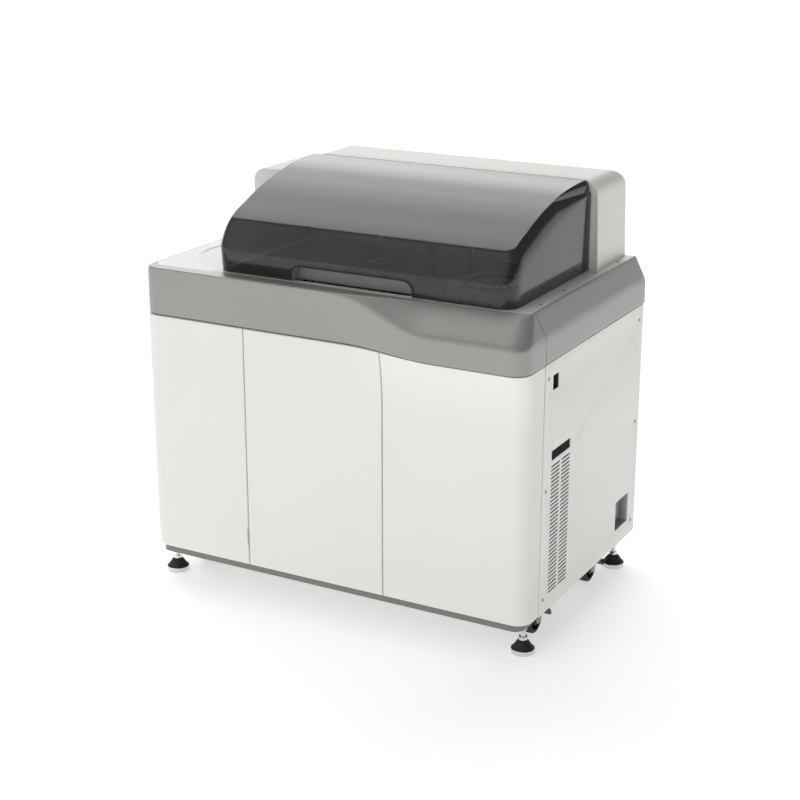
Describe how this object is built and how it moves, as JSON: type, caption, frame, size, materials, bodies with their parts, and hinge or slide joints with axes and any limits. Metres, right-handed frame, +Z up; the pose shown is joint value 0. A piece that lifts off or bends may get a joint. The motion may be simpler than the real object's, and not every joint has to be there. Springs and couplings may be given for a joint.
{
  "type": "clinical chemistry analyzer",
  "caption": "Floor-standing chemistry analyzer: cabinet with hinged doors, curved grey band, deck with turning disks and arms under a smoked tilting hood, on levelling feet and casters.",
  "frame": {"origin": "centre of the overall box on the floor", "axes": "+Z up, -Y towards the front doors, +X to the right as seen from the front"},
  "size_m": [1.104, 0.758, 1.09],
  "materials": {
    "white_paint": "satin",
    "frame_grey": "satin",
    "zinc_sheet": "satin",
    "filter_black": "matte",
    "screw_steel": "satin",
    "band_silver": "satin",
    "deck_white": "satin",
    "work_grey": "satin",
    "disk_grey": "satin",
    "disk_black": "satin",
    "tube_plastic": "gloss",
    "cuvette_clear": "gloss",
    "bottle_white": "satin",
    "polished_steel": "polished",
    "arm_white": "gloss",
    "smoked_plastic": "gloss",
    "black_plastic": "satin",
    "cover_white": "satin",
    "pump_grey": "satin",
    "tank_white": "satin",
    "rocker_black": "gloss",
    "foot_chrome": "polished",
    "caster_steel": "satin",
    "caster_tyre": "matte",
    "pedal_black": "satin"
  },
  "bodies": {
    "chassis": {"base_frame": "frame_grey", "frame_posts": "frame_grey", "cabinet_walls": "zinc_sheet", "side_panel_left": "white_paint", "side_panel_right": "white_paint", "rear_panel": "white_paint", "vent_filter": "filter_black", "panel_screws": "screw_steel", "front_band": "band_silver", "side_band_left": "band_silver", "side_band_right": "band_silver", "door_pins": "screw_steel", "deck": "deck_white", "work_deck": "work_grey", "hinge_brackets": "black_plastic", "rear_cover": "cover_white", "side_cover": "cover_white", "access_panel": "cover_white", "power_supply": "zinc_sheet", "pump_unit": "pump_grey", "fluid_tanks": "tank_white", "switch_housing": "black_plastic", "inlet_plate": "zinc_sheet", "power_inlet": "black_plastic", "drain_fitting": "black_plastic"},
    "hood": {"hood": "smoked_plastic", "hood_fittings": "black_plastic"},
    "left_door": {"door_left": "white_paint"},
    "middle_door": {"door_middle": "white_paint"},
    "right_door": {"door_right": "white_paint"},
    "sample_carousel": {"sample_disk": "disk_grey", "sample_tubes": "tube_plastic"},
    "reaction_rotor": {"reaction_disk": "disk_black", "cuvettes": "cuvette_clear"},
    "reagent_carousel": {"reagent_disk": "disk_grey", "reagent_bottles": "bottle_white"},
    "sample_lift": {"sample_post": "polished_steel"},
    "sample_swing": {"sample_arm": "arm_white"},
    "reagent_lift": {"reagent_post": "polished_steel"},
    "reagent_swing": {"reagent_arm": "arm_white"},
    "mixer_lift": {"mixer_post": "polished_steel"},
    "mixer_swing": {"mixer_arm": "arm_white"},
    "wash_lift": {"wash_head": "polished_steel"},
    "rocker": {"power_rocker": "rocker_black"},
    "foot_front_left": {"foot_front_left": "foot_chrome"},
    "swivel_front_left": {"caster_fork_front_left": "caster_steel"},
    "wheel_front_left": {"caster_wheel_front_left": "caster_tyre"},
    "pedal_front_left": {"caster_pedal_front_left": "pedal_black"},
    "foot_rear_left": {"foot_rear_left": "foot_chrome"},
    "swivel_rear_left": {"caster_fork_rear_left": "caster_steel"},
    "wheel_rear_left": {"caster_wheel_rear_left": "caster_tyre"},
    "pedal_rear_left": {"caster_pedal_rear_left": "pedal_black"},
    "foot_front_right": {"foot_front_right": "foot_chrome"},
    "swivel_front_right": {"caster_fork_front_right": "caster_steel"},
    "wheel_front_right": {"caster_wheel_front_right": "caster_tyre"},
    "pedal_front_right": {"caster_pedal_front_right": "pedal_black"},
    "foot_rear_right": {"foot_rear_right": "foot_chrome"},
    "swivel_rear_right": {"caster_fork_rear_right": "caster_steel"},
    "wheel_rear_right": {"caster_wheel_rear_right": "caster_tyre"},
    "pedal_rear_right": {"caster_pedal_rear_right": "pedal_black"}
  },
  "joints": [
    {"name": "hood_hinge", "type": "hinge", "parent": "chassis", "child": "hood", "pos_m": [0.0585, 0.168, 1.077], "axis": [-1, 0, 0], "range_deg": [0, 65]},
    {"name": "left_door_hinge", "type": "hinge", "parent": "chassis", "child": "left_door", "pos_m": [-0.505, -0.301, 0.4145], "axis": [0, 0, -1], "range_deg": [0, 90]},
    {"name": "middle_door_hinge", "type": "hinge", "parent": "chassis", "child": "middle_door", "pos_m": [-0.2012, -0.319, 0.4145], "axis": [0, 0, -1], "range_deg": [0, 100]},
    {"name": "right_door_hinge", "type": "hinge", "parent": "chassis", "child": "right_door", "pos_m": [0.505, -0.301, 0.4145], "axis": [0, 0, 1], "range_deg": [0, 90]},
    {"name": "sample_disk_turn", "type": "hinge", "parent": "chassis", "child": "sample_carousel", "pos_m": [-0.205, -0.04, 0.79], "axis": [0, 0, 1], "continuous": true},
    {"name": "reaction_disk_turn", "type": "hinge", "parent": "chassis", "child": "reaction_rotor", "pos_m": [0.06, -0.06, 0.79], "axis": [0, 0, 1], "continuous": true},
    {"name": "reagent_disk_turn", "type": "hinge", "parent": "chassis", "child": "reagent_carousel", "pos_m": [0.31, -0.03, 0.79], "axis": [0, 0, 1], "continuous": true},
    {"name": "sample_arm_lift", "type": "slide", "parent": "chassis", "child": "sample_lift", "axis": [0, 0, 1], "range_m": [-0.05, 0]},
    {"name": "sample_arm_swing", "type": "hinge", "parent": "sample_lift", "child": "sample_swing", "pos_m": [-0.072, 0.075, 0.935], "axis": [0, 0, 1], "range_deg": [-60, 60]},
    {"name": "reagent_arm_lift", "type": "slide", "parent": "chassis", "child": "reagent_lift", "axis": [0, 0, 1], "range_m": [-0.05, 0]},
    {"name": "reagent_arm_swing", "type": "hinge", "parent": "reagent_lift", "child": "reagent_swing", "pos_m": [0.178, 0.11, 0.935], "axis": [0, 0, 1], "range_deg": [-60, 60]},
    {"name": "mixer_arm_lift", "type": "slide", "parent": "chassis", "child": "mixer_lift", "axis": [0, 0, 1], "range_m": [-0.05, 0]},
    {"name": "mixer_arm_swing", "type": "hinge", "parent": "mixer_lift", "child": "mixer_swing", "pos_m": [0.06, 0.115, 0.935], "axis": [0, 0, 1], "range_deg": [0, 90]},
    {"name": "wash_head_lift", "type": "slide", "parent": "chassis", "child": "wash_lift", "axis": [0, 0, 1], "range_m": [-0.04, 0]},
    {"name": "power_rocker_tilt", "type": "hinge", "parent": "chassis", "child": "rocker", "pos_m": [0.533, -0.19, 0.6815], "axis": [0, -1, 0], "range_deg": [0, 16]},
    {"name": "foot_turn_front_left", "type": "hinge", "parent": "chassis", "child": "foot_front_left", "pos_m": [-0.518, -0.272, 0.06], "axis": [0, 0, 1], "continuous": true},
    {"name": "swivel_turn_front_left", "type": "hinge", "parent": "chassis", "child": "swivel_front_left", "pos_m": [-0.492, -0.138, 0.095], "axis": [0, 0, 1], "continuous": true},
    {"name": "wheel_roll_front_left", "type": "hinge", "parent": "swivel_front_left", "child": "wheel_front_left", "pos_m": [-0.492, -0.166, 0.0415], "axis": [1, 0, 0], "continuous": true},
    {"name": "pedal_press_front_left", "type": "hinge", "parent": "swivel_front_left", "child": "pedal_front_left", "pos_m": [-0.492, -0.114, 0.058], "axis": [-1, 0, 0], "range_deg": [0, 12]},
    {"name": "foot_turn_rear_left", "type": "hinge", "parent": "chassis", "child": "foot_rear_left", "pos_m": [-0.518, 0.32, 0.06], "axis": [0, 0, 1], "continuous": true},
    {"name": "swivel_turn_rear_left", "type": "hinge", "parent": "chassis", "child": "swivel_rear_left", "pos_m": [-0.492, 0.216, 0.095], "axis": [0, 0, 1], "continuous": true},
    {"name": "wheel_roll_rear_left", "type": "hinge", "parent": "swivel_rear_left", "child": "wheel_rear_left", "pos_m": [-0.492, 0.188, 0.0415], "axis": [1, 0, 0], "continuous": true},
    {"name": "pedal_press_rear_left", "type": "hinge", "parent": "swivel_rear_left", "child": "pedal_rear_left", "pos_m": [-0.492, 0.24, 0.058], "axis": [-1, 0, 0], "range_deg": [0, 12]},
    {"name": "foot_turn_front_right", "type": "hinge", "parent": "chassis", "child": "foot_front_right", "pos_m": [0.518, -0.272, 0.06], "axis": [0, 0, 1], "continuous": true},
    {"name": "swivel_turn_front_right", "type": "hinge", "parent": "chassis", "child": "swivel_front_right", "pos_m": [0.492, -0.138, 0.095], "axis": [0, 0, 1], "continuous": true},
    {"name": "wheel_roll_front_right", "type": "hinge", "parent": "swivel_front_right", "child": "wheel_front_right", "pos_m": [0.492, -0.166, 0.0415], "axis": [1, 0, 0], "continuous": true},
    {"name": "pedal_press_front_right", "type": "hinge", "parent": "swivel_front_right", "child": "pedal_front_right", "pos_m": [0.492, -0.114, 0.058], "axis": [-1, 0, 0], "range_deg": [0, 12]},
    {"name": "foot_turn_rear_right", "type": "hinge", "parent": "chassis", "child": "foot_rear_right", "pos_m": [0.518, 0.32, 0.06], "axis": [0, 0, 1], "continuous": true},
    {"name": "swivel_turn_rear_right", "type": "hinge", "parent": "chassis", "child": "swivel_rear_right", "pos_m": [0.492, 0.216, 0.095], "axis": [0, 0, 1], "continuous": true},
    {"name": "wheel_roll_rear_right", "type": "hinge", "parent": "swivel_rear_right", "child": "wheel_rear_right", "pos_m": [0.492, 0.188, 0.0415], "axis": [1, 0, 0], "continuous": true},
    {"name": "pedal_press_rear_right", "type": "hinge", "parent": "swivel_rear_right", "child": "pedal_rear_right", "pos_m": [0.492, 0.24, 0.058], "axis": [-1, 0, 0], "range_deg": [0, 12]}
  ]
}
